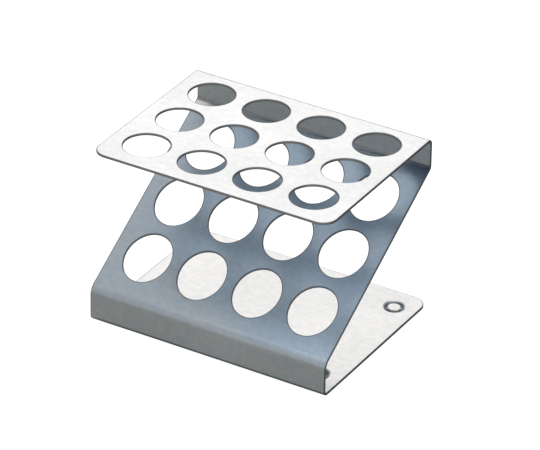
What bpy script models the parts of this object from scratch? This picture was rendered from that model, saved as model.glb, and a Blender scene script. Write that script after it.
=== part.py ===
"""Test tube rack: one perforated steel sheet bent into a Z, standing on four push-in feet.

Units are metres. The origin is on the table under the middle of the rack.
+X points right, +Y to the rear and +Z up.
The sheet is followed from the rear edge of the base plate: forward along the base, up the front lip,
up the sloping plate to the rear, up the rear lip, and forward again along the top plate.
"""

import math

import bmesh
import bpy
from mathutils import Matrix, Vector

MM = 0.001

# The bent sheet
SHEET = 1.0 * MM
WIDTH = 102.0 * MM
BASE_DEPTH = 79.5 * MM
TOP_DEPTH = 77.0 * MM
SHEET_HEIGHT = 73.2 * MM  # underside of the base plate to the upper face of the top plate
LIP_HEIGHT = 14.0 * MM  # underside of the base plate to the front edge of the sloping plate
SLOPE = math.radians(31.6)
TIGHT_BEND_RADIUS = 1.5 * MM  # inside of a bend
SOFT_BEND_RADIUS = 4.0 * MM  # inside of the bend between the front lip and the slope
BEND_STEPS = 5
CORNER_RADIUS = 6.0 * MM  # free corners of the base plate and the top plate
CORNER_STEPS = 6

# Holes for the tubes, in rows across the rack
COLUMNS = 4
ROWS = 3
COLUMN_PITCH = 23.9 * MM
TOP_ROW_PITCH = 23.2 * MM
SLOPE_ROW_PITCH = 26.0 * MM  # along the slope
HOLE_DIAMETER = 18.0 * MM
OVAL_WIDTH = 18.8 * MM
OVAL_LENGTH = 21.1 * MM  # along the slope
HOLE_SEGMENTS = 40

# Dished seats for the feet
SEAT_SPACING_X = 83.4 * MM
SEAT_FRONT_MARGIN = 12.0 * MM  # from the front of the base plate
SEAT_REAR_MARGIN = 10.7 * MM  # from its rear edge
SEAT_RADIUS = 4.1 * MM  # at the upper face of the base plate
SEAT_FLOOR_RADIUS = 2.7 * MM
SEAT_DEPTH = 0.9 * MM
SEAT_HOLE_RADIUS = 1.8 * MM
ROUND_SEGMENTS = 24

# Feet
FOOT_LIFT = 2.5 * MM  # table to the underside of the base plate
GAP = 0.3 * MM  # clearance between a foot and the sheet
PAD_RADIUS = 4.6 * MM
PAD_CONTACT_RADIUS = 3.7 * MM
PAD_EDGE = 0.3 * MM  # chamfer on the pad's upper rim
BARB_RADIUS = 2.4 * MM
BARB_TIP_RADIUS = 2.2 * MM
BARB_TAPER = 0.15 * MM

FRONT = -BASE_DEPTH / 2
BASE_UNDERSIDE = FOOT_LIFT
BASE_TOP = BASE_UNDERSIDE + SHEET
TOP_UNDERSIDE = BASE_UNDERSIDE + SHEET_HEIGHT - SHEET
TOP_MIDDLE = FRONT + TOP_DEPTH / 2

STEEL = ((0.60, 0.63, 0.67, 1.0), 0.32, 1.0)
FOOT_PLASTIC = ((0.86, 0.87, 0.86, 1.0), 0.45, 0.0)


def clear_scene():
    for obj in list(bpy.data.objects):
        bpy.data.objects.remove(obj, do_unlink=True)


def make_material(name, look):
    color, roughness, metallic = look
    material = bpy.data.materials.new(name)
    material.use_nodes = True
    material.diffuse_color = color
    shader = material.node_tree.nodes["Principled BSDF"]
    shader.inputs["Base Color"].default_value = color
    shader.inputs["Roughness"].default_value = roughness
    shader.inputs["Metallic"].default_value = metallic
    return material


def add_object(name, mesh_builder, material=None):
    """Turn a bmesh into an object, with its normals pointing out."""
    bmesh.ops.recalc_face_normals(mesh_builder, faces=mesh_builder.faces)
    mesh = bpy.data.meshes.new(name)
    mesh_builder.to_mesh(mesh)
    mesh_builder.free()
    obj = bpy.data.objects.new(name, mesh)
    bpy.context.scene.collection.objects.link(obj)
    if material:
        mesh.materials.append(material)
    return obj


def apply_boolean(target, operation, tool):
    """Add a Boolean to the target. The tool stays in the file as a hidden helper."""
    tool.hide_render = True
    tool.display_type = "WIRE"
    modifier = target.modifiers.new(tool.name, "BOOLEAN")
    modifier.operation = operation
    modifier.solver = "EXACT"
    modifier.object = tool


def sheet_stations():
    """(face point, direction through the sheet) pairs in the YZ plane, from one free edge to the other.

    The face is the one that starts as the underside of the base plate.
    """
    rear_lip_face = FRONT + TOP_DEPTH - SHEET
    slope_rise = (rear_lip_face - FRONT) * math.tan(SLOPE)
    corners = [
        Vector((FRONT + BASE_DEPTH, BASE_UNDERSIDE)),
        Vector((FRONT, BASE_UNDERSIDE)),
        Vector((FRONT, BASE_UNDERSIDE + LIP_HEIGHT)),
        Vector((rear_lip_face, BASE_UNDERSIDE + LIP_HEIGHT + slope_rise)),
        Vector((rear_lip_face, TOP_UNDERSIDE)),
        Vector((FRONT, TOP_UNDERSIDE)),
    ]
    inner_radii = [TIGHT_BEND_RADIUS, SOFT_BEND_RADIUS, TIGHT_BEND_RADIUS, TIGHT_BEND_RADIUS]

    def through(direction):
        return Vector((direction.y, -direction.x))

    first = (corners[1] - corners[0]).normalized()
    last = (corners[-1] - corners[-2]).normalized()
    stations = [(corners[0], through(first))]
    bends = zip(corners, corners[1:], corners[2:], inner_radii)
    for before, corner, after, inner_radius in bends:
        arriving = (corner - before).normalized()
        leaving = (after - corner).normalized()
        turn = arriving.angle(leaving)
        # The face is on the outside of a bend that turns towards the rest of the sheet's thickness.
        outside = arriving.cross(leaving) < 0
        radius = inner_radius + (SHEET if outside else 0.0)
        side = 1.0 if outside else -1.0
        start = corner - arriving * radius * math.tan(turn / 2)
        centre = start + through(arriving) * side * radius
        for step in range(BEND_STEPS + 1):
            swing = Matrix.Rotation(-side * turn * step / BEND_STEPS, 2)
            inward = swing @ through(arriving)
            stations.append((centre - inward * side * radius, inward))
    stations.append((corners[-1], through(last)))
    return stations


def bent_sheet(material):
    """The blank after bending, with rounded free corners and no holes."""
    builder = bmesh.new()
    sections = []
    for face_point, through in sheet_stations():
        back_point = face_point + through * SHEET
        section = [
            builder.verts.new((x, point.x, point.y))
            for x, point in (
                (-WIDTH / 2, face_point),
                (-WIDTH / 2, back_point),
                (WIDTH / 2, back_point),
                (WIDTH / 2, face_point),
            )
        ]
        sections.append(section)
    for here, there in zip(sections, sections[1:]):
        for side in range(4):
            following = (side + 1) % 4
            builder.faces.new((here[side], there[side], there[following], here[following]))
    builder.faces.new(sections[0])
    builder.faces.new(reversed(sections[-1]))
    # The edges through the thickness at the two free ends of the sheet are its four free corners.
    corner_edges = [
        builder.edges.get((section[low], section[low + 1]))
        for section in (sections[0], sections[-1])
        for low in (0, 2)
    ]
    bmesh.ops.bevel(
        builder,
        geom=corner_edges,
        offset=CORNER_RADIUS,
        segments=CORNER_STEPS,
        profile=0.5,
        affect="EDGES",
    )
    return add_object("rack_sheet", builder, material)


def hole_cutter(name, middle, tilt, row_pitch, width, length):
    """One round or oval plug for each tube, square to the plate that it cuts."""
    builder = bmesh.new()
    tilted = Matrix.Rotation(tilt, 4, "X")
    oval = Matrix.Diagonal((width / 2, length / 2, 1.0, 1.0))
    for column in range(COLUMNS):
        for row in range(ROWS):
            across = (column - (COLUMNS - 1) / 2) * COLUMN_PITCH
            along = (row - (ROWS - 1) / 2) * row_pitch
            place = Matrix.Translation(middle) @ tilted @ Matrix.Translation((across, along, 0.0))
            bmesh.ops.create_cone(
                builder,
                cap_ends=True,
                segments=HOLE_SEGMENTS,
                radius1=1.0,
                radius2=1.0,
                depth=6 * SHEET,
                matrix=place @ oval,
            )
    return add_object(name, builder)


def seat_places():
    """(name, x, y) of each foot's seat."""
    front = FRONT + SEAT_FRONT_MARGIN
    rear = FRONT + BASE_DEPTH - SEAT_REAR_MARGIN
    return [
        (f"{depth_name}_{side_name}", x, y)
        for depth_name, y in (("front", front), ("rear", rear))
        for side_name, x in (("left", -SEAT_SPACING_X / 2), ("right", SEAT_SPACING_X / 2))
    ]


def seat_tool(name, low, low_radius, high, high_radius):
    """A cone or cylinder at every seat, from one height to another above the base plate's underside."""
    builder = bmesh.new()
    for _, x, y in seat_places():
        bmesh.ops.create_cone(
            builder,
            cap_ends=True,
            segments=ROUND_SEGMENTS,
            radius1=low_radius,
            radius2=high_radius,
            depth=high - low,
            matrix=Matrix.Translation((x, y, BASE_UNDERSIDE + (low + high) / 2)),
        )
    return add_object(name, builder)


def form_seats(sheet):
    """Press a dish with a round hole into the base plate at every foot."""
    flare = (SEAT_RADIUS - SEAT_FLOOR_RADIUS) / SEAT_DEPTH  # radius gained per unit of height
    wall_offset = SHEET * math.hypot(1.0, flare)  # keeps the wall as thick as the sheet
    floor = SHEET - SEAT_DEPTH
    embedded = SHEET / 2
    overshoot = SHEET

    def outer_radius(height):
        return SEAT_FLOOR_RADIUS + (height - floor) * flare + wall_offset

    boss = seat_tool(
        "seat_boss", -SEAT_DEPTH, outer_radius(-SEAT_DEPTH), embedded, outer_radius(embedded)
    )
    dish = seat_tool(
        "seat_dish", floor, SEAT_FLOOR_RADIUS, SHEET + overshoot, SEAT_RADIUS + overshoot * flare
    )
    hole = seat_tool(
        "seat_hole", -SEAT_DEPTH - overshoot, SEAT_HOLE_RADIUS, overshoot, SEAT_HOLE_RADIUS
    )
    apply_boolean(sheet, "UNION", boss)
    apply_boolean(sheet, "DIFFERENCE", dish)
    apply_boolean(sheet, "DIFFERENCE", hole)


def foot(name, x, y, material):
    """A turned foot: pad under the sheet, stem through the seat, barb inside the dish."""
    pad_top = BASE_UNDERSIDE - SEAT_DEPTH - GAP
    stem_radius = SEAT_HOLE_RADIUS - GAP
    barb_bottom = BASE_TOP - SEAT_DEPTH + GAP
    profile = [
        (0.0, 0.0),
        (PAD_CONTACT_RADIUS, 0.0),
        (PAD_RADIUS, pad_top / 2),
        (PAD_RADIUS, pad_top - PAD_EDGE),
        (PAD_RADIUS - PAD_EDGE, pad_top),
        (stem_radius, pad_top),
        (stem_radius, barb_bottom),
        (BARB_RADIUS, barb_bottom),
        (BARB_RADIUS, BASE_TOP - BARB_TAPER),
        (BARB_TIP_RADIUS, BASE_TOP),
        (0.0, BASE_TOP),
    ]
    builder = bmesh.new()
    points = [builder.verts.new((radius, 0.0, height)) for radius, height in profile]
    for here, there in zip(points, points[1:]):
        builder.edges.new((here, there))
    obj = add_object(name, builder, material)
    obj.location = (x, y, 0.0)
    turning = obj.modifiers.new("turned", "SCREW")
    turning.axis = "Z"
    turning.steps = ROUND_SEGMENTS
    turning.render_steps = ROUND_SEGMENTS
    turning.use_merge_vertices = True
    turning.merge_threshold = 0.00001
    turning.use_normal_flip = True
    turning.use_smooth_shade = True
    return obj


clear_scene()
steel = make_material("satin_steel", STEEL)
plastic = make_material("foot_plastic", FOOT_PLASTIC)

rack = bent_sheet(steel)

top_holes = hole_cutter(
    "top_holes",
    middle=Vector((0.0, TOP_MIDDLE, TOP_UNDERSIDE + SHEET / 2)),
    tilt=0.0,
    row_pitch=TOP_ROW_PITCH,
    width=HOLE_DIAMETER,
    length=HOLE_DIAMETER,
)
apply_boolean(rack, "DIFFERENCE", top_holes)

# The middle rows of both plates are in line, so a tube in them stands upright.
slope_middle = Vector(
    (0.0, TOP_MIDDLE, BASE_UNDERSIDE + LIP_HEIGHT + (TOP_MIDDLE - FRONT) * math.tan(SLOPE))
)
slope_holes = hole_cutter(
    "slope_holes",
    middle=slope_middle,
    tilt=SLOPE,
    row_pitch=SLOPE_ROW_PITCH,
    width=OVAL_WIDTH,
    length=OVAL_LENGTH,
)
apply_boolean(rack, "DIFFERENCE", slope_holes)

form_seats(rack)

for place, seat_x, seat_y in seat_places():
    foot(f"foot_{place}", seat_x, seat_y, plastic)
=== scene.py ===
"""Looks of the test tube rack: a satin stainless sheet bent into a Z, on four push-in plastic feet.

The sheet is made the way the real one is: a flat blank with its holes is laid out first, its cut edges
are rounded, the seats for the feet are pressed into it, and then it is bent four times.
On the flat blank, x runs across the rack and s runs along the sheet, from the rear edge of the base
plate, forward to the front lip, up the slope to the rear lip, and forward again to the front of the top
plate. w runs through the sheet, from its middle surface, and on the base plate +w is up.
Units are metres. The origin is on the table under the middle of the rack, +Y to the rear and +Z up.
"""

import math

import bmesh
import bpy
from mathutils import Matrix, Vector
from mathutils.geometry import delaunay_2d_cdt


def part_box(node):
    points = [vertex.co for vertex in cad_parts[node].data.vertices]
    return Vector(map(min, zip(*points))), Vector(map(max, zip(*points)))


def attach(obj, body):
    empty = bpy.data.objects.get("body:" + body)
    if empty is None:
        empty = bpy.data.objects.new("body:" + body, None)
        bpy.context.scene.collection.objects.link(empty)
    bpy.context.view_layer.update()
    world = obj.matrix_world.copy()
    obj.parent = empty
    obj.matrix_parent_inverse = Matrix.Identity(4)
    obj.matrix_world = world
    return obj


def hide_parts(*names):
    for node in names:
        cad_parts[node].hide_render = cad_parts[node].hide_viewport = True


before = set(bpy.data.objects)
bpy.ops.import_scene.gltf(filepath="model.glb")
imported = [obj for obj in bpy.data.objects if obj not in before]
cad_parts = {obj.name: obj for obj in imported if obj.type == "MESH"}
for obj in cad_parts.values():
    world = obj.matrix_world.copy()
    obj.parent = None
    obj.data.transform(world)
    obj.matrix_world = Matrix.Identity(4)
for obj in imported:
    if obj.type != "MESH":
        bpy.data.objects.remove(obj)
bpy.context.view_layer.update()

MM = 0.001
SHEET_LOW, SHEET_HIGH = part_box("rack_sheet")

# The bent sheet, as in the CAD
SHEET = 1.0 * MM
TOP_DEPTH = 77.0 * MM
LIP_HEIGHT = 14.0 * MM
SLOPE = math.radians(31.6)
TIGHT_BEND_RADIUS = 1.5 * MM  # inside of a bend
SOFT_BEND_RADIUS = 4.0 * MM  # inside of the bend between the front lip and the slope
CORNER_RADIUS = 6.0 * MM
COLUMNS = 4
ROWS = 3
COLUMN_PITCH = 23.9 * MM
TOP_ROW_PITCH = 23.2 * MM
SLOPE_ROW_PITCH = 26.0 * MM
HOLE_DIAMETER = 18.0 * MM
OVAL_WIDTH = 18.8 * MM
OVAL_LENGTH = 21.1 * MM
SEAT_DEPTH = 0.9 * MM
SEAT_HOLE_RADIUS = 1.8 * MM
SEAT_FLOOR_EDGE = 2.45 * MM  # the dish's wall rises from here
SEAT_RIM_EDGE = 4.85 * MM  # to here, on the middle surface
SEAT_REACH = 5.6 * MM  # beyond this the sheet is flat again

WIDTH = SHEET_HIGH.x - SHEET_LOW.x
FRONT = SHEET_LOW.y
REAR = SHEET_HIGH.y
TOP = SHEET_HIGH.z
BASE_UNDERSIDE = SHEET_LOW.z + SEAT_DEPTH
BASE_TOP = BASE_UNDERSIDE + SHEET

# How finely the sheet is meshed
GRID = 3.0 * MM
HOLE_STEPS = 80
SEAT_STEPS = 48
SEAT_RINGS = 13
CORNER_STEPS = 10
BEND_STEPS_PER_TURN = 52
RIM_STEPS = 3
SAME_POINT = 1e-9  # points of the blank that are closer than this would be merged

# Finish of the sheet
ROLLOVER_WIDTH = 0.5 * MM  # how far each face rolls over towards a cut edge
PUNCH_SIDE_DEPTH = 0.20 * MM  # and how deep the rollover is on the side that the punch hits first
DIE_SIDE_DEPTH = 0.11 * MM
RIM_DARKENING = 1.7  # above 1, a rolled rim takes the cut edge's colour, with its painted shadow line, before the true cut edge is reached
DISH_SHADE_RADIUS = 4.4 * MM  # the painted shade in a pressed seat ends here
DISH_SHADE_FADE = 0.6 * MM

# Slow unevenness of the flat plates: each swell's share, its turns of phase per metre across and along
# the sheet, in radians, and its phase at the middle of the rear edge
WAVE_HEIGHT = 0.018 * MM
SWELLS = (
    (1.0, 61.0, 23.0, 0.7),
    (0.7, 37.0, -83.0, 2.1),
    (0.5, 149.0, 97.0, 4.0),
)


# ---------------------------------------------------------------- the sheet's path in the YZ plane


def right_of(direction):
    """The direction through the sheet, for a path that runs along direction."""
    return Vector((direction.y, -direction.x))


class Stretch:
    """A straight or bent stretch of the sheet's middle surface."""

    def __init__(self, start_s, length, start, direction, turn=0.0, radius=0.0):
        self.start_s = start_s
        self.length = length
        self.start = start
        self.direction = direction
        self.turn = turn  # anticlockwise seen from +X, in radians
        self.radius = radius  # of the middle surface

    def heading(self, s):
        """The direction of the sheet at s."""
        share = (s - self.start_s) / self.length
        return Matrix.Rotation(self.turn * share, 2) @ self.direction

    def place(self, s, w):
        """The point (y, z) at s along the sheet, w away from its middle surface."""
        heading = self.heading(s)
        if self.turn:
            side = -math.copysign(1.0, self.turn)
            centre = self.start + right_of(self.direction) * side * self.radius
            middle = centre - right_of(heading) * side * self.radius
        else:
            middle = self.start + self.direction * (s - self.start_s)
        return middle + right_of(heading) * w


def sheet_path():
    """The stretches of the sheet in order, from the rear edge of the base plate."""
    rear_lip_face = FRONT + TOP_DEPTH - SHEET
    slope_rise = (rear_lip_face - FRONT) * math.tan(SLOPE)
    face_corners = [
        Vector((REAR, BASE_UNDERSIDE)),
        Vector((FRONT, BASE_UNDERSIDE)),
        Vector((FRONT, BASE_UNDERSIDE + LIP_HEIGHT)),
        Vector((rear_lip_face, BASE_UNDERSIDE + LIP_HEIGHT + slope_rise)),
        Vector((rear_lip_face, TOP - SHEET)),
        Vector((FRONT, TOP - SHEET)),
    ]
    inner_radii = [TIGHT_BEND_RADIUS, SOFT_BEND_RADIUS, TIGHT_BEND_RADIUS, TIGHT_BEND_RADIUS]
    headings = [(b - a).normalized() for a, b in zip(face_corners, face_corners[1:])]
    corners = [face_corners[0] + right_of(headings[0]) * SHEET / 2]
    for corner, before, after in zip(face_corners[1:], headings, headings[1:]):
        rights = right_of(before) + right_of(after)
        corners.append(corner + rights * SHEET / 2 / (1.0 + before.dot(after)))
    corners.append(face_corners[-1] + right_of(headings[-1]) * SHEET / 2)

    stretches = []
    s = 0.0
    start = corners[0]
    for index, heading in enumerate(headings):
        end = corners[index + 1]
        turn = 0.0
        radius = 0.0
        if index + 1 < len(headings):
            following = headings[index + 1]
            turn = math.copysign(heading.angle(following), heading.cross(following))
            radius = inner_radii[index] + SHEET / 2
        end = end - heading * radius * math.tan(abs(turn) / 2)
        length = (end - start).length
        stretches.append(Stretch(s, length, start, heading))
        s += length
        if turn:
            bend = Stretch(s, radius * abs(turn), end, heading, turn, radius)
            stretches.append(bend)
            s += bend.length
            start = bend.place(s, 0.0)
    return stretches


PATH = sheet_path()
BASE, FRONT_BEND, LIP, SLOPE_BEND, SLOPING, REAR_BEND, REAR_LIP, TOP_BEND, TOP_PLATE = PATH
SHEET_LENGTH = TOP_PLATE.start_s + TOP_PLATE.length


def along(stretch, y, z):
    """How far along the sheet a point beside a straight stretch is."""
    return stretch.start_s + (Vector((y, z)) - stretch.start).dot(stretch.direction)


# ---------------------------------------------------------------- the flat blank


def oval_loop(x, s, radius_x, radius_s, steps):
    """(point, direction into the metal) pairs round a hole."""
    loop = []
    for step in range(steps):
        angle = math.tau * step / steps
        point = Vector((x + radius_x * math.cos(angle), s + radius_s * math.sin(angle)))
        into = Vector((math.cos(angle) / radius_x, math.sin(angle) / radius_s)).normalized()
        loop.append((point, into))
    return loop


def spaced(low, high, step):
    """Evenly spaced values strictly between low and high, about step apart."""
    count = max(1, round((high - low) / step))
    return [low + (high - low) * i / count for i in range(1, count)]


def bend_lines():
    """The values of s at which a bend is faceted, ends included."""
    lines = []
    for stretch in PATH:
        if stretch.turn:
            steps = round(BEND_STEPS_PER_TURN * abs(stretch.turn) / math.tau)
            lines += [stretch.start_s + stretch.length * i / steps for i in range(steps + 1)]
    return lines


def row_lines():
    """Grid lines across the straight stretches."""
    lines = []
    for stretch in PATH:
        if not stretch.turn:
            lines += spaced(stretch.start_s, stretch.start_s + stretch.length, GRID)
    return lines


def outline_loop():
    """(point, direction into the metal) pairs round the blank, anticlockwise."""
    half = WIDTH / 2
    low = CORNER_RADIUS
    high = SHEET_LENGTH - CORNER_RADIUS
    inner = half - CORNER_RADIUS
    sides = [s for s in sorted(row_lines() + bend_lines()) if low < s < high]
    ends = spaced(-inner, inner, GRID)
    loop = []

    def corner(x, s, first_angle):
        for step in range(CORNER_STEPS + 1):
            angle = first_angle + math.pi / 2 * step / CORNER_STEPS
            out = Vector((math.cos(angle), math.sin(angle)))
            loop.append((Vector((x, s)) + out * CORNER_RADIUS, -out))

    corner(-inner, low, math.pi)
    loop.extend((Vector((x, 0.0)), Vector((0.0, 1.0))) for x in ends)
    corner(inner, low, -math.pi / 2)
    loop.extend((Vector((half, s)), Vector((-1.0, 0.0))) for s in sides)
    corner(inner, high, 0.0)
    loop.extend((Vector((x, SHEET_LENGTH)), Vector((0.0, -1.0))) for x in reversed(ends))
    corner(-inner, high, math.pi / 2)
    loop.extend((Vector((-half, s)), Vector((1.0, 0.0))) for s in reversed(sides))
    return loop


def tube_holes():
    """(x, s, half width, half length) of every tube hole."""
    middle_y = FRONT + TOP_DEPTH / 2
    slope_z = BASE_UNDERSIDE + LIP_HEIGHT + (middle_y - FRONT) * math.tan(SLOPE)
    plates = (
        (along(TOP_PLATE, middle_y, TOP), TOP_ROW_PITCH, HOLE_DIAMETER, HOLE_DIAMETER),
        (along(SLOPING, middle_y, slope_z), SLOPE_ROW_PITCH, OVAL_WIDTH, OVAL_LENGTH),
    )
    holes = []
    for middle_s, row_pitch, width, length in plates:
        for column in range(COLUMNS):
            for row in range(ROWS):
                x = (column - (COLUMNS - 1) / 2) * COLUMN_PITCH
                s = middle_s + (row - (ROWS - 1) / 2) * row_pitch
                holes.append((x, s, width / 2, length / 2))
    return holes


def foot_names():
    """The names of the CAD nodes that are feet."""
    return [name for name in sorted(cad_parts) if name.startswith("foot_")]


def foot_centre(name):
    """The middle of a foot's box."""
    low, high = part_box(name)
    return (low + high) / 2


TUBE_HOLES = tube_holes()
SEATS = [
    (foot_centre(name).x, along(BASE, foot_centre(name).y, BASE_TOP)) for name in foot_names()
]
SEAT_HOLES = [(x, s, SEAT_HOLE_RADIUS, SEAT_HOLE_RADIUS) for x, s in SEATS]


# ---------------------------------------------------------------- pressing the seats


def smooth_step(value):
    """0 to 1 as value goes from 0 to 1, level at both ends."""
    value = min(max(value, 0.0), 1.0)
    return value * value * (3.0 - 2.0 * value)


def seat_depth(radius):
    """How far the sheet is pressed down at a distance from the middle of a seat."""
    up_the_wall = (radius - SEAT_FLOOR_EDGE) / (SEAT_RIM_EDGE - SEAT_FLOOR_EDGE)
    return SEAT_DEPTH * (1.0 - smooth_step(up_the_wall))


def pressed(x, s, w):
    """Where a point of the blank goes when the seats are pressed, with the wall at full thickness."""
    for seat_x, seat_s in SEATS:
        offset = Vector((x - seat_x, s - seat_s))
        radius = offset.length
        if radius < SEAT_REACH:
            tiny = 0.01 * MM
            fall = (seat_depth(radius + tiny) - seat_depth(radius - tiny)) / (2 * tiny)
            stretch = math.hypot(1.0, fall)
            moved = offset.normalized() * (radius + w * fall / stretch)
            return seat_x + moved.x, seat_s + moved.y, w / stretch - seat_depth(radius)
    return x, s, w


def in_dish(x, s):
    """1 inside a pressed seat, fading to 0 at its rim."""
    nearest = min(math.hypot(x - seat_x, s - seat_s) for seat_x, seat_s in SEATS)
    return smooth_step((DISH_SHADE_RADIUS - nearest) / DISH_SHADE_FADE)


# ---------------------------------------------------------------- meshing the sheet


def wave(x, s):
    """Height of the unevenness that any rolled and bent sheet has, kept inside the true outline."""
    swell = sum(
        share * math.sin(across * x + along_sheet * s + phase)
        for share, across, along_sheet, phase in SWELLS
    )
    highest = sum(share for share, _, _, _ in SWELLS)
    # Inside is towards +w on the front lip and towards -w on the top plate.
    inside = 1.0 - 2.0 * smooth_step((s - REAR_LIP.start_s) / REAR_LIP.length)
    return WAVE_HEIGHT * (swell + highest * inside)


def bent(x, s, w):
    """Where a point of the blank ends up on the finished rack."""
    x, s, w = pressed(x, s, w)
    w += wave(x, s)
    for stretch in PATH:
        if s <= stretch.start_s + stretch.length or stretch is PATH[-1]:
            place = stretch.place(s, w)
            return Vector((x, place.x, place.y))


def clear_of(ovals, x, s, margin):
    """Whether a point of the blank is at least about margin away from every oval."""
    for oval_x, oval_s, radius_x, radius_s in ovals:
        reach_x = radius_x + margin
        reach_s = radius_s + margin
        if ((x - oval_x) / reach_x) ** 2 + ((s - oval_s) / reach_s) ** 2 < 1.0:
            return False
    return True


def rim_layers():
    """(inset from the cut edge, w) pairs, from the upper face round the edge to the lower face."""
    layers = []
    half = SHEET / 2
    for side, depth in ((1.0, PUNCH_SIDE_DEPTH), (-1.0, DIE_SIDE_DEPTH)):
        arc = []
        for step in range(RIM_STEPS + 1):
            angle = math.pi / 2 * step / RIM_STEPS
            inset = ROLLOVER_WIDTH * (1.0 - math.sin(angle))
            w = half - depth * (1.0 - math.cos(angle))
            arc.append((inset, side * w))
        layers += arc if side > 0 else reversed(arc)
    return layers


def cut_loops():
    """The blank's cut edges: its outline, and then its holes."""
    loops = [outline_loop()]
    loops += [list(reversed(oval_loop(*hole, HOLE_STEPS))) for hole in TUBE_HOLES]
    loops += [list(reversed(oval_loop(*hole, SEAT_STEPS))) for hole in SEAT_HOLES]
    return loops


def blank_layout(loops):
    """Points and fixed edges of the blank inside its rims. The rims' own points come first."""
    plan = []
    edges = []
    for loop in loops:
        first = len(plan)
        plan += [point + into * ROLLOVER_WIDTH for point, into in loop]
        edges += [(first + i, first + (i + 1) % len(loop)) for i in range(len(loop))]

    outline = loops[0]
    half = WIDTH / 2
    columns = spaced(-half, half, GRID)
    left_side = [i for i, (_, into) in enumerate(outline) if into.x == 1.0]
    right_side = [i for i, (_, into) in enumerate(outline) if into.x == -1.0]
    for s in bend_lines():
        first = len(plan)
        plan += [Vector((x, s)) for x in columns]
        ends = [min(side, key=lambda i: abs(outline[i][0].y - s)) for side in (left_side, right_side)]
        edges.append((ends[0], first))
        edges += [(i, i + 1) for i in range(first, len(plan) - 1)]
        edges.append((len(plan) - 1, ends[1]))

    pressed_areas = [(x, s, SEAT_REACH, SEAT_REACH) for x, s in SEATS]
    for s in row_lines():
        for x in columns:
            at_corner = min(s, SHEET_LENGTH - s) < CORNER_RADIUS and half - abs(x) < CORNER_RADIUS
            if clear_of(TUBE_HOLES + pressed_areas, x, s, GRID / 2) and not at_corner:
                plan.append(Vector((x, s)))

    first_ring = SEAT_HOLE_RADIUS + 2 * ROLLOVER_WIDTH
    for seat_x, seat_s in SEATS:
        for ring in range(SEAT_RINGS):
            radius = first_ring + (SEAT_REACH - first_ring) * ring / (SEAT_RINGS - 1)
            plan += [p for p, _ in oval_loop(seat_x, seat_s, radius, radius, SEAT_STEPS)]
    return plan, edges


def blank_face(loops):
    """Points and triangles of one face of the blank, inside its rims."""
    plan, edges = blank_layout(loops)
    verts, _, triangles, _, _, _ = delaunay_2d_cdt(plan, edges, [], 0, SAME_POINT, False)
    if len(verts) != len(plan):
        raise ValueError(f"the blank's layout has {len(plan)} points but meshes to {len(verts)}")
    rim_count = sum(len(loop) for loop in loops)

    def in_metal(triangle):
        """A triangle that fills a hole has all its corners on that hole's rim."""
        centre = sum((verts[i] for i in triangle), Vector((0.0, 0.0))) / 3
        on_rims = all(i < rim_count for i in triangle)
        return not on_rims or clear_of(TUBE_HOLES + SEAT_HOLES, centre.x, centre.y, ROLLOVER_WIDTH)

    return verts, [tuple(triangle) for triangle in triangles if in_metal(triangle)]


def flat_mesh():
    """Points (x, s, w, cut share, rim share) and faces of the blank, with rounded rims."""
    loops = cut_loops()
    verts, triangles = blank_face(loops)
    count = len(verts)
    points = [(v.x, v.y, SHEET / 2, 0.0, 0.0) for v in verts]
    points += [(v.x, v.y, -SHEET / 2, 0.0, 0.0) for v in verts]
    faces = list(triangles)
    faces += [tuple(count + i for i in reversed(triangle)) for triangle in triangles]

    layers = rim_layers()
    first_plan = 0
    for loop in loops:
        rings = [[first_plan + i for i in range(len(loop))]]
        for inset, w in layers[1:-1]:
            rings.append([len(points) + i for i in range(len(loop))])
            cut = min(1.0, RIM_DARKENING * (1.0 - inset / ROLLOVER_WIDTH))
            rim = 1.0 if inset > 0.0 else 0.0  # on the rollover, not on the cut edge itself
            for point, into in loop:
                place = point + into * inset
                points.append((place.x, place.y, w, cut, rim))
        rings.append([count + first_plan + i for i in range(len(loop))])
        for upper, lower in zip(rings, rings[1:]):
            for i in range(len(loop)):
                j = (i + 1) % len(loop)
                faces.append((upper[i], lower[i], lower[j], upper[j]))
        first_plan += len(loop)
    return points, faces


def link(obj):
    """Put an object in the scene, and hand it back."""
    bpy.context.scene.collection.objects.link(obj)
    return obj


def shade_smooth(mesh):
    mesh.polygons.foreach_set("use_smooth", [True] * len(mesh.polygons))


def build_sheet():
    """The whole bent sheet, with its flat pattern as a UV map and marks for the material to read."""
    points, faces = flat_mesh()
    mesh = bpy.data.meshes.new("stainless_sheet")
    mesh.from_pydata([bent(x, s, w) for x, s, w, _, _ in points], [], faces)
    flat_uv = mesh.uv_layers.new(name="flat_pattern")
    for loop in mesh.loops:
        x, s, w, _, _ = points[loop.vertex_index]
        flat_uv.data[loop.index].uv = (x, s + w)
    marks = {
        "cut_edge": [cut for _, _, _, cut, _ in points],
        "rim": [rim for _, _, _, _, rim in points],
        "inner_face": [1.0 if w < 0.0 else 0.0 for _, _, w, _, _ in points],
        "dish": [in_dish(x, s) for x, s, _, _, _ in points],
    }
    for name, values in marks.items():
        mesh.attributes.new(name, "FLOAT", "POINT").data.foreach_set("value", values)
    shade_smooth(mesh)
    mesh.validate()
    obj = link(bpy.data.objects.new("stainless_sheet", mesh))
    steady = obj.modifiers.new("steady_normals", "WEIGHTED_NORMAL")
    steady.weight = 100  # large faces decide, so that the flat plates shade flat up to their rims
    return obj


sheet = build_sheet()
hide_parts("rack_sheet")
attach(sheet, "root")


# ---------------------------------------------------------------- the feet

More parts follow.
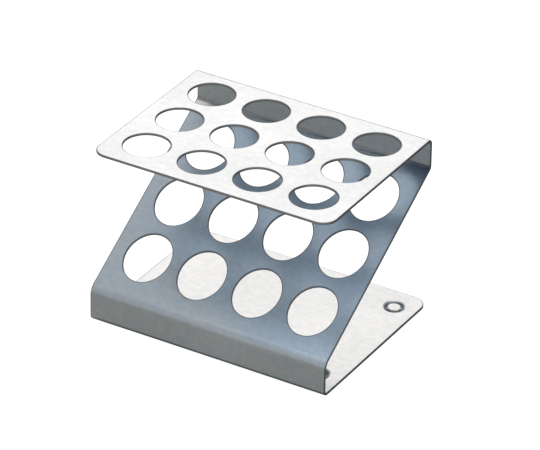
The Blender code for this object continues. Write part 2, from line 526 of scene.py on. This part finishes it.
FOOT_GAP = 0.3 * MM  # between a foot and the sheet
PAD_TAPER = 0.9 * MM  # how much narrower the pad is where it stands on the bench
BARB_RADIUS = 2.4 * MM
BARB_GAP = 0.06 * MM  # the barb is pulled down almost onto the seat
GATE_FLOOR_RADIUS = 0.8 * MM  # moulding gate in the middle of the pad
GATE_RIM_RADIUS = 1.1 * MM
GATE_DEPTH = 0.25 * MM
SOCKET_FLOOR_RADIUS = 0.6 * MM  # shallow dimple in the tip
SOCKET_RIM_RADIUS = 0.9 * MM
SOCKET_DEPTH = 0.2 * MM
FOOT_STEPS = 64
FILLET_STEPS = 4


def rounded(corners):
    """The outline through (radius, height, fillet) corners, with each corner rounded to its fillet."""
    outline = [Vector(corners[0][:2])]
    for before, corner, after in zip(corners, corners[1:], corners[2:]):
        point = Vector(corner[:2])
        back = (Vector(before[:2]) - point).normalized()
        forward = (Vector(after[:2]) - point).normalized()
        reach = corner[2] / math.tan(back.angle(forward) / 2)
        start = point + back * reach
        end = point + forward * reach
        for step in range(FILLET_STEPS + 1):
            share = step / FILLET_STEPS
            outline.append(start.lerp(point, share).lerp(point.lerp(end, share), share))
    outline.append(Vector(corners[-1][:2]))
    return outline


def turned(name, outline, steps):
    """A solid of revolution about Z, from an outline that starts and ends on the axis."""
    verts = [(0.0, 0.0, outline[0].y)]
    for point in outline[1:-1]:
        for step in range(steps):
            angle = math.tau * step / steps
            verts.append((point.x * math.cos(angle), point.x * math.sin(angle), point.y))
    verts.append((0.0, 0.0, outline[-1].y))
    top = len(verts) - 1
    rings = len(outline) - 2
    faces = []
    for i in range(steps):
        j = (i + 1) % steps
        faces.append((0, 1 + j, 1 + i))
        for ring in range(rings - 1):
            lower = 1 + ring * steps
            upper = lower + steps
            faces.append((lower + i, lower + j, upper + j, upper + i))
        last = 1 + (rings - 1) * steps
        faces.append((last + i, last + j, top))
    mesh = bpy.data.meshes.new(name)
    mesh.from_pydata(verts, [], faces)
    shade_smooth(mesh)
    return link(bpy.data.objects.new(name, mesh))


def build_foot(node):
    """A moulded push-in foot: pad, stem through the seat, and a barb that shows inside the dish."""
    low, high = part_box(node)
    pad_radius = (high.x - low.x) / 2
    pad_top = BASE_UNDERSIDE - SEAT_DEPTH - FOOT_GAP
    stem_radius = SEAT_HOLE_RADIUS - FOOT_GAP
    barb_bottom = BASE_TOP - SEAT_DEPTH + BARB_GAP
    socket_floor = high.z - SOCKET_DEPTH
    outline = rounded(
        [
            # radius, height, fillet
            (0.0, GATE_DEPTH, 0.0),
            (GATE_FLOOR_RADIUS, GATE_DEPTH, 0.12 * MM),
            (GATE_RIM_RADIUS, 0.0, 0.1 * MM),
            (pad_radius - PAD_TAPER, 0.0, 0.25 * MM),
            (pad_radius, pad_top / 2, 0.3 * MM),
            (pad_radius, pad_top, 0.25 * MM),
            (stem_radius, pad_top, 0.12 * MM),
            (stem_radius, barb_bottom, 0.02 * MM),
            (BARB_RADIUS, barb_bottom, 0.06 * MM),
            (BARB_RADIUS, high.z, 0.16 * MM),
            (SOCKET_RIM_RADIUS, high.z, 0.1 * MM),
            (SOCKET_FLOOR_RADIUS, socket_floor, 0.1 * MM),
            (0.0, socket_floor, 0.0),
        ]
    )
    obj = turned(f"{node}_moulding", outline, FOOT_STEPS)
    centre = foot_centre(node)
    obj.location = (centre.x, centre.y, 0.0)
    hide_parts(node)
    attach(obj, "root")
    return obj


feet = [build_foot(name) for name in foot_names()]


# ---------------------------------------------------------------- materials

# A Mix node has sockets for each kind of data. These are the ones for colours.
MIX_FACTOR = 0
MIX_FIRST = 6
MIX_SECOND = 7
MIX_RESULT = 2


class Nodes:
    """Short calls for building one node tree."""

    def __init__(self, tree):
        self.tree = tree
        tree.nodes.clear()

    def add(self, kind, inputs=None, **settings):
        """A node, with its settings, and its inputs given as values or as other nodes' outputs."""
        node = self.tree.nodes.new(kind)
        for name, value in settings.items():
            setattr(node, name, value)
        for name, value in (inputs or {}).items():
            socket = node.inputs[name]
            if isinstance(value, bpy.types.NodeSocket):
                self.tree.links.new(value, socket)
            else:
                socket.default_value = value
        return node

    def maths(self, operation, first, second=0.0):
        node = self.add("ShaderNodeMath", {0: first, 1: second}, operation=operation)
        return node.outputs[0]

    def times(self, first, second):
        return self.maths("MULTIPLY", first, second)

    def dot(self, vector, axis):
        node = self.add("ShaderNodeVectorMath", {0: vector, 1: axis}, operation="DOT_PRODUCT")
        return node.outputs["Value"]

    def between(self, factor, low, high):
        """low to high as factor goes from 0 to 1."""
        node = self.add("ShaderNodeMapRange", {"Value": factor, "To Min": low, "To Max": high})
        return node.outputs["Result"]

    def contrast(self, value, low, high):
        """0 to 1 as value goes from low to high, smoothly."""
        node = self.add(
            "ShaderNodeMapRange",
            {"Value": value, "From Min": low, "From Max": high},
            interpolation_type="SMOOTHSTEP",
        )
        return node.outputs["Result"]

    def blend(self, factor, first, second, blend_type="MIX"):
        """The colour first, turning to the colour second as factor goes from 0 to 1."""
        node = self.add(
            "ShaderNodeMix",
            {MIX_FACTOR: factor, MIX_FIRST: first, MIX_SECOND: second},
            data_type="RGBA",
            blend_type=blend_type,
        )
        return node.outputs[MIX_RESULT]

    def tint(self, factor, base, shade):
        """The colour base, turning to base times shade as factor goes from 0 to 1."""
        return self.blend(factor, base, shade, "MULTIPLY")

    def attribute(self, name):
        """A number that the mesh carries at its points."""
        return self.add("ShaderNodeAttribute", attribute_name=name).outputs["Fac"]

    def noise(self, vector, scale, detail=3.0, roughness=0.5):
        """Cloudy noise, with scale in cells per metre along each axis of vector."""
        mapping = self.add("ShaderNodeMapping", {"Vector": vector, "Scale": scale})
        node = self.add(
            "ShaderNodeTexNoise",
            {
                "Vector": mapping.outputs[0],
                "Scale": 1.0,
                "Detail": detail,
                "Roughness": roughness,
            },
        )
        return node.outputs["Fac"]


def colour(red, green, blue):
    return (red, green, blue, 1.0)


def new_material(name):
    material = bpy.data.materials.new(name)
    material.use_nodes = True
    return material, Nodes(material.node_tree)


def brushed_steel(nodes, flat, coarse_grain):
    """Colour of the bare sheet: cloudy, finely mottled, streaked along the grain, with a few hairlines."""
    clouds = nodes.noise(flat, (14.0, 17.0, 1.0), detail=2.0, roughness=0.5)
    mottle = nodes.noise(flat, (330.0, 420.0, 1.0), detail=5.0, roughness=0.65)
    hairline = nodes.noise(flat, (55.0, 2600.0, 1.0), detail=1.0, roughness=0.3)
    dark_cloud = colour(0.54, 0.60, 0.65)
    light_cloud = colour(0.60, 0.66, 0.71)
    scratch = colour(0.8, 0.8, 0.8)
    steel = nodes.blend(nodes.contrast(clouds, 0.3, 0.7), dark_cloud, light_cloud)
    steel = nodes.tint(nodes.contrast(mottle, 0.35, 0.65), steel, colour(0.88, 0.91, 0.95))
    steel = nodes.tint(nodes.between(coarse_grain, 0.0, 0.35), steel, colour(0.80, 0.80, 0.80))
    return nodes.blend(nodes.times(nodes.contrast(hairline, 0.70, 0.76), 0.25), steel, scratch)


def cut_steel(nodes, flat):
    """Colour of a cut edge: torn in the middle of its thickness, with a dark painted shadow line where it
    rolls over.
    """
    shear = nodes.noise(flat, (2400.0, 2400.0, 1.0), detail=2.0)
    torn = nodes.blend(shear, colour(0.24, 0.255, 0.27), colour(0.40, 0.41, 0.42))
    # painted shadow line where the edge rolls over
    painted_rim_shadow = nodes.blend(shear, colour(0.08, 0.085, 0.095), colour(0.18, 0.185, 0.19))
    return nodes.blend(nodes.attribute("rim"), torn, painted_rim_shadow)


def slope_painted_reflections(nodes, across, run, steel):
    """Painted reflections on the slope: it is painted bluer away from its lower left corner and lighter at
    its lower right, as the room's light would show in it.
    """
    blue_from = -5.0 * MM
    blue_to = 30.0 * MM
    low_part = 25.0 * MM
    climb_share = 2.0  # how much more climbing the low part counts than going right
    up_slope = nodes.maths("SUBTRACT", run, SLOPING.start_s)
    on_slope = nodes.times(
        nodes.contrast(run, SLOPE_BEND.start_s, SLOPING.start_s),
        nodes.contrast(run, REAR_LIP.start_s, REAR_BEND.start_s),
    )
    climbed = nodes.times(nodes.maths("MINIMUM", up_slope, low_part), climb_share)
    away = nodes.maths("ADD", across, climbed)
    blue = nodes.times(nodes.contrast(away, blue_from, blue_to), on_slope)
    # painted reflection: the slope is tinted bluer, as if the blue-grey ceiling showed in it
    steel = nodes.tint(blue, steel, colour(0.94, 1.02, 1.10))
    # painted highlight at the lower right of the slope
    at_right = nodes.contrast(across, 15.0 * MM, 45.0 * MM)
    low_down = nodes.contrast(up_slope, 50.0 * MM, 30.0 * MM)
    lower_right_highlight = nodes.times(nodes.times(at_right, low_down), on_slope)
    return nodes.tint(lower_right_highlight, steel, colour(1.20, 1.20, 1.20))


def rear_corner_painted_light(nodes, across, run, steel):
    """The inside corner at the rear, with painted light and shade: a warm painted highlight below its bend,
    painted shade in the bend, and a darker painted shadow at its right end.
    """
    corner_reach = 7.0 * MM  # how far down the slope the painted highlight and shade fade out
    bend_fade = 1.0 * MM
    # Painted light and shade in the inside corner: a warm painted highlight below the bend, painted shade
    # in the bend and a painted shadow at the right end.
    painted_warm_highlight = colour(1.95, 1.64, 1.38)
    painted_bend_shade = colour(0.34, 0.38, 0.43)
    painted_crease_shadow = colour(0.10, 0.12, 0.14)
    below = nodes.contrast(run, REAR_BEND.start_s - corner_reach, REAR_BEND.start_s)
    in_bend = nodes.contrast(run, REAR_BEND.start_s - bend_fade, REAR_BEND.start_s)
    up_to_lip = nodes.contrast(run, REAR_LIP.start_s, REAR_LIP.start_s - bend_fade)
    inside = nodes.times(up_to_lip, nodes.attribute("inner_face"))
    right_end = nodes.times(nodes.contrast(across, 36.0 * MM, 44.0 * MM), inside)
    elsewhere = nodes.maths("SUBTRACT", inside, right_end)
    # painted highlight below the bend, then painted shade in it
    steel = nodes.tint(nodes.times(below, elsewhere), steel, painted_warm_highlight)
    steel = nodes.tint(nodes.times(in_bend, elsewhere), steel, painted_bend_shade)
    # painted shadow in the crease at its right end
    crease_shadow_share = nodes.maths("ADD", nodes.times(below, 0.45), nodes.times(in_bend, 0.4))
    return nodes.tint(nodes.times(crease_shadow_share, right_end), steel, painted_crease_shadow)


def base_painted_shade(nodes, run, steel):
    """The base plate: painted slightly darker than the rest as painted shade under the slope, with painted
    shade in the pressed seats.
    """
    base_fade = 6.0 * MM
    dish_painted_shade = colour(0.30, 0.32, 0.35)
    # painted shade in the pressed seats, darkening the dish
    steel = nodes.tint(nodes.times(nodes.attribute("dish"), 0.75), steel, dish_painted_shade)
    # the base plate is painted slightly darker, as painted shade under the slope
    on_base = nodes.contrast(run, LIP.start_s, LIP.start_s - base_fade)
    return nodes.tint(on_base, steel, colour(0.94, 0.93, 0.92))


def steel_material():
    """Satin stainless: fine grain across the rack, cloudy smudges and rougher, darker cut edges, with
    painted reflections, highlights and shade laid into its colour.
    """
    material, nodes = new_material("satin_stainless")
    flat = nodes.add("ShaderNodeUVMap", uv_map="flat_pattern").outputs["UV"]
    across, run, _ = nodes.add("ShaderNodeSeparateXYZ", {"Vector": flat}).outputs
    cut_edge = nodes.attribute("cut_edge")
    fine_grain = nodes.noise(flat, (70.0, 9000.0, 1.0), detail=3.0, roughness=0.6)
    coarse_grain = nodes.noise(flat, (12.0, 1400.0, 1.0), detail=4.0, roughness=0.6)
    smudges = nodes.noise(flat, (42.0, 36.0, 1.0), detail=4.0, roughness=0.55)

    steel = brushed_steel(nodes, flat, coarse_grain)
    steel = slope_painted_reflections(nodes, across, run, steel)
    steel = nodes.blend(nodes.times(cut_edge, 0.9), steel, cut_steel(nodes, flat))
    steel = rear_corner_painted_light(nodes, across, run, steel)
    steel = base_painted_shade(nodes, run, steel)

    satin = nodes.maths("ADD", nodes.between(smudges, 0.24, 0.36), nodes.between(fine_grain, -0.04, 0.04))
    roughness = nodes.maths("ADD", satin, nodes.times(cut_edge, 0.16))
    relief = nodes.maths("ADD", nodes.times(coarse_grain, 0.6), fine_grain)
    bump = nodes.add("ShaderNodeBump", {"Height": relief, "Strength": 0.25, "Distance": 0.01 * MM})
    tangent = nodes.add("ShaderNodeTangent", direction_type="UV_MAP", uv_map="flat_pattern")
    shader = nodes.add(
        "ShaderNodeBsdfPrincipled",
        {
            "Base Color": steel,
            "Metallic": 1.0,
            "Roughness": roughness,
            "Anisotropic": 0.35,
            "Tangent": tangent.outputs[0],
            "Normal": bump.outputs[0],
        },
    )
    nodes.add("ShaderNodeOutputMaterial", {"Surface": shader.outputs[0]})
    return material


def plastic_material():
    """Soft white moulded plastic that lets a little light in, scuffed where it stands on the bench."""
    material, nodes = new_material("soft_white_plastic")
    place = nodes.add("ShaderNodeTexCoord").outputs["Object"]
    mottle = nodes.noise(place, (420.0, 420.0, 420.0), detail=3.0)
    orange_peel = nodes.noise(place, (5200.0, 5200.0, 5200.0), detail=2.0)
    height = nodes.add("ShaderNodeSeparateXYZ", {"Vector": place}).outputs["Z"]
    scuff_top = 0.7 * MM
    scuffed = nodes.contrast(height, scuff_top, 0.0)
    clean = nodes.blend(mottle, colour(0.88, 0.89, 0.885), colour(0.95, 0.95, 0.94))
    base = nodes.blend(nodes.times(scuffed, 0.45), clean, colour(0.46, 0.45, 0.43))
    moulded = nodes.between(mottle, 0.32, 0.48)
    roughness = nodes.maths("ADD", moulded, nodes.times(scuffed, 0.2))
    bump = nodes.add("ShaderNodeBump", {"Height": orange_peel, "Strength": 0.2, "Distance": 0.02 * MM})
    shader = nodes.add(
        "ShaderNodeBsdfPrincipled",
        {
            "Base Color": base,
            "Roughness": roughness,
            "Subsurface Weight": 0.25,
            "Subsurface Radius": (0.8 * MM, 0.8 * MM, 0.8 * MM),
            "Subsurface Scale": 1.0,
            "Normal": bump.outputs[0],
        },
    )
    nodes.add("ShaderNodeOutputMaterial", {"Surface": shader.outputs[0]})
    return material


sheet.data.materials.append(steel_material())
foot_plastic = plastic_material()
for foot in feet:
    foot.data.materials.append(foot_plastic)


# ---------------------------------------------------------------- studio

FLOOR_RADIUS = 3.0

# Where the photographer stood
CAMERA_AZIMUTH = math.radians(30.153)
CAMERA_ELEVATION = math.radians(30.264)
CAMERA_ROLL = math.radians(1.181)
CAMERA_DISTANCE = 1.7445
CAMERA_LENS = 310.1
CAMERA_SENSOR = 36.0
CAMERA_TARGET = Vector((1.78 * MM, 2.80 * MM, 39.74 * MM))

# The window is straight ahead of the photographer.
WINDOW_DIRECTION = Vector((-math.sin(CAMERA_AZIMUTH), math.cos(CAMERA_AZIMUTH), 0.0))
WINDOW_ACROSS = Vector((math.cos(CAMERA_AZIMUTH), math.sin(CAMERA_AZIMUTH), 0.0))
FILL_DIRECTION = Vector((0.68, -0.68, 0.26)).normalized()

# The bench in the reflections is darker under the rack, beyond it and to its right. Its shade begins at
# the rack's left side and just ahead of its front.
SHADE_SIDE_FADE = 5.0 * MM
SHADE_START = 4.5 * MM
SHADE_FULL = 0.5 * MM

# Where each part of the room fades in, from the first value to the second, along a direction of unit
# length. Aside is 0 straight ahead, so the window and the strip of light over it fade in inwards.
WALL_AHEAD = (-0.2, 0.4)
WINDOW_ASIDE = (0.50, 0.24)
WINDOW_AHEAD = (-0.1, 0.25)
WINDOW_SILL = (0.14, 0.34)
FILL_EDGE = (0.75, 0.95)
CEILING_EDGE = (0.55, 0.80)
DARK_CEILING_AHEAD = (0.2, 0.5)
STRIP_ASIDE = (0.22, 0.10)
STRIP_AHEAD = (0.0, 0.1)
DIFFUSE_GAIN = 1.6  # the room lights matte surfaces more than it shows in the metal


def floor_material():
    """Pale paper to the eye. In the metal's reflections it is a grey bench, shaded by the rack."""
    material, nodes = new_material("pale_paper")
    place = nodes.add("ShaderNodeTexCoord").outputs["Object"]
    fibre = nodes.noise(place, (900.0, 900.0, 900.0), detail=4.0)
    paper = nodes.blend(fibre, colour(0.90, 0.90, 0.90), colour(0.93, 0.93, 0.93))
    lit = nodes.add("ShaderNodeBsdfDiffuse", {"Color": paper}).outputs[0]
    lifted = nodes.add("ShaderNodeEmission", {"Strength": 1.27}).outputs[0]
    seen = nodes.add("ShaderNodeMixShader", {"Fac": 0.8, 1: lit, 2: lifted}).outputs[0]
    x, y, _ = nodes.add("ShaderNodeSeparateXYZ", {"Vector": place}).outputs
    shade = nodes.times(
        nodes.contrast(x, SHEET_LOW.x - SHADE_SIDE_FADE, SHEET_LOW.x + SHADE_SIDE_FADE),
        nodes.contrast(y, FRONT - SHADE_START, FRONT - SHADE_FULL),
    )
    bench = nodes.blend(shade, colour(0.30, 0.29, 0.26), colour(0.08, 0.08, 0.08))
    shine = nodes.blend(shade, colour(0.42, 0.40, 0.36), colour(0.09, 0.09, 0.09))
    shaded = nodes.add("ShaderNodeBsdfDiffuse", {"Color": bench}).outputs[0]
    glow = nodes.add("ShaderNodeEmission", {"Color": shine}).outputs[0]
    reflected = nodes.add("ShaderNodeMixShader", {"Fac": 0.6, 1: shaded, 2: glow}).outputs[0]
    rays = nodes.add("ShaderNodeLightPath")
    surface = nodes.add(
        "ShaderNodeMixShader", {"Fac": rays.outputs["Is Glossy Ray"], 1: seen, 2: reflected}
    )
    nodes.add("ShaderNodeOutputMaterial", {"Surface": surface.outputs[0]})
    return material


def build_floor():
    """A wide round floor, which is not part of the object."""
    builder = bmesh.new()
    bmesh.ops.create_circle(builder, cap_ends=True, segments=64, radius=FLOOR_RADIUS)
    mesh = bpy.data.meshes.new("floor")
    builder.to_mesh(mesh)
    builder.free()
    mesh.materials.append(floor_material())
    floor = link(bpy.data.objects.new("floor", mesh))


def build_world():
    """A room with one tall bright window beyond the rack, a soft fill and a blue-grey ceiling."""
    world = bpy.data.worlds.new("studio")
    world.use_nodes = True
    bpy.context.scene.world = world
    nodes = Nodes(world.node_tree)
    direction = nodes.add("ShaderNodeTexCoord").outputs["Generated"]
    ahead = nodes.dot(direction, WINDOW_DIRECTION)
    aside = nodes.maths("ABSOLUTE", nodes.dot(direction, WINDOW_ACROSS))
    height = nodes.dot(direction, (0.0, 0.0, 1.0))
    towards_fill = nodes.dot(direction, FILL_DIRECTION)

    near_wall = colour(0.53, 0.53, 0.53)
    far_wall = colour(0.24, 0.27, 0.30)
    room = nodes.blend(nodes.contrast(ahead, *WALL_AHEAD), near_wall, far_wall)
    window = nodes.times(nodes.contrast(aside, *WINDOW_ASIDE), nodes.contrast(ahead, *WINDOW_AHEAD))
    window = nodes.times(window, nodes.contrast(height, *WINDOW_SILL))
    room = nodes.blend(window, room, colour(1.97, 1.75, 1.58))
    room = nodes.blend(nodes.contrast(towards_fill, *FILL_EDGE), room, colour(0.95, 0.95, 0.95))

    # The ceiling is darker beyond the rack, but for the strip in which the window reaches up into it.
    near_ceiling = colour(0.68, 0.69, 0.70)
    far_ceiling = colour(0.32, 0.36, 0.40)
    ceiling = nodes.blend(nodes.contrast(ahead, *DARK_CEILING_AHEAD), near_ceiling, far_ceiling)
    strip = nodes.times(nodes.contrast(aside, *STRIP_ASIDE), nodes.contrast(ahead, *STRIP_AHEAD))
    beside_strip = nodes.maths("SUBTRACT", 1.0, strip)
    overhead = nodes.times(nodes.contrast(height, *CEILING_EDGE), beside_strip)
    room = nodes.blend(overhead, room, ceiling)

    # The camera itself sees plain white.
    rays = nodes.add("ShaderNodeLightPath")
    seen = nodes.blend(rays.outputs["Is Camera Ray"], room, colour(1.0, 1.0, 1.0))
    strength = nodes.between(rays.outputs["Is Diffuse Ray"], 1.0, DIFFUSE_GAIN)
    background = nodes.add("ShaderNodeBackground", {"Color": seen, "Strength": strength})
    nodes.add("ShaderNodeOutputWorld", {"Surface": background.outputs[0]})


def build_camera():
    """The photographer's camera, turned a little about its own line of sight."""
    data = bpy.data.cameras.new("camera")
    data.lens = CAMERA_LENS
    data.sensor_width = CAMERA_SENSOR
    data.clip_start = 0.05
    data.clip_end = 20.0
    camera = link(bpy.data.objects.new("camera", data))
    back = Vector(
        (
            math.sin(CAMERA_AZIMUTH) * math.cos(CAMERA_ELEVATION),
            -math.cos(CAMERA_AZIMUTH) * math.cos(CAMERA_ELEVATION),
            math.sin(CAMERA_ELEVATION),
        )
    )
    camera.location = CAMERA_TARGET + back * CAMERA_DISTANCE
    level = (-back).to_track_quat("-Z", "Y").to_matrix()
    camera.rotation_mode = "QUATERNION"
    camera.rotation_quaternion = (level @ Matrix.Rotation(CAMERA_ROLL, 3, "Z")).to_quaternion()
    bpy.context.scene.camera = camera


build_floor()
build_world()
build_camera()
bpy.context.scene.view_settings.view_transform = "Standard"
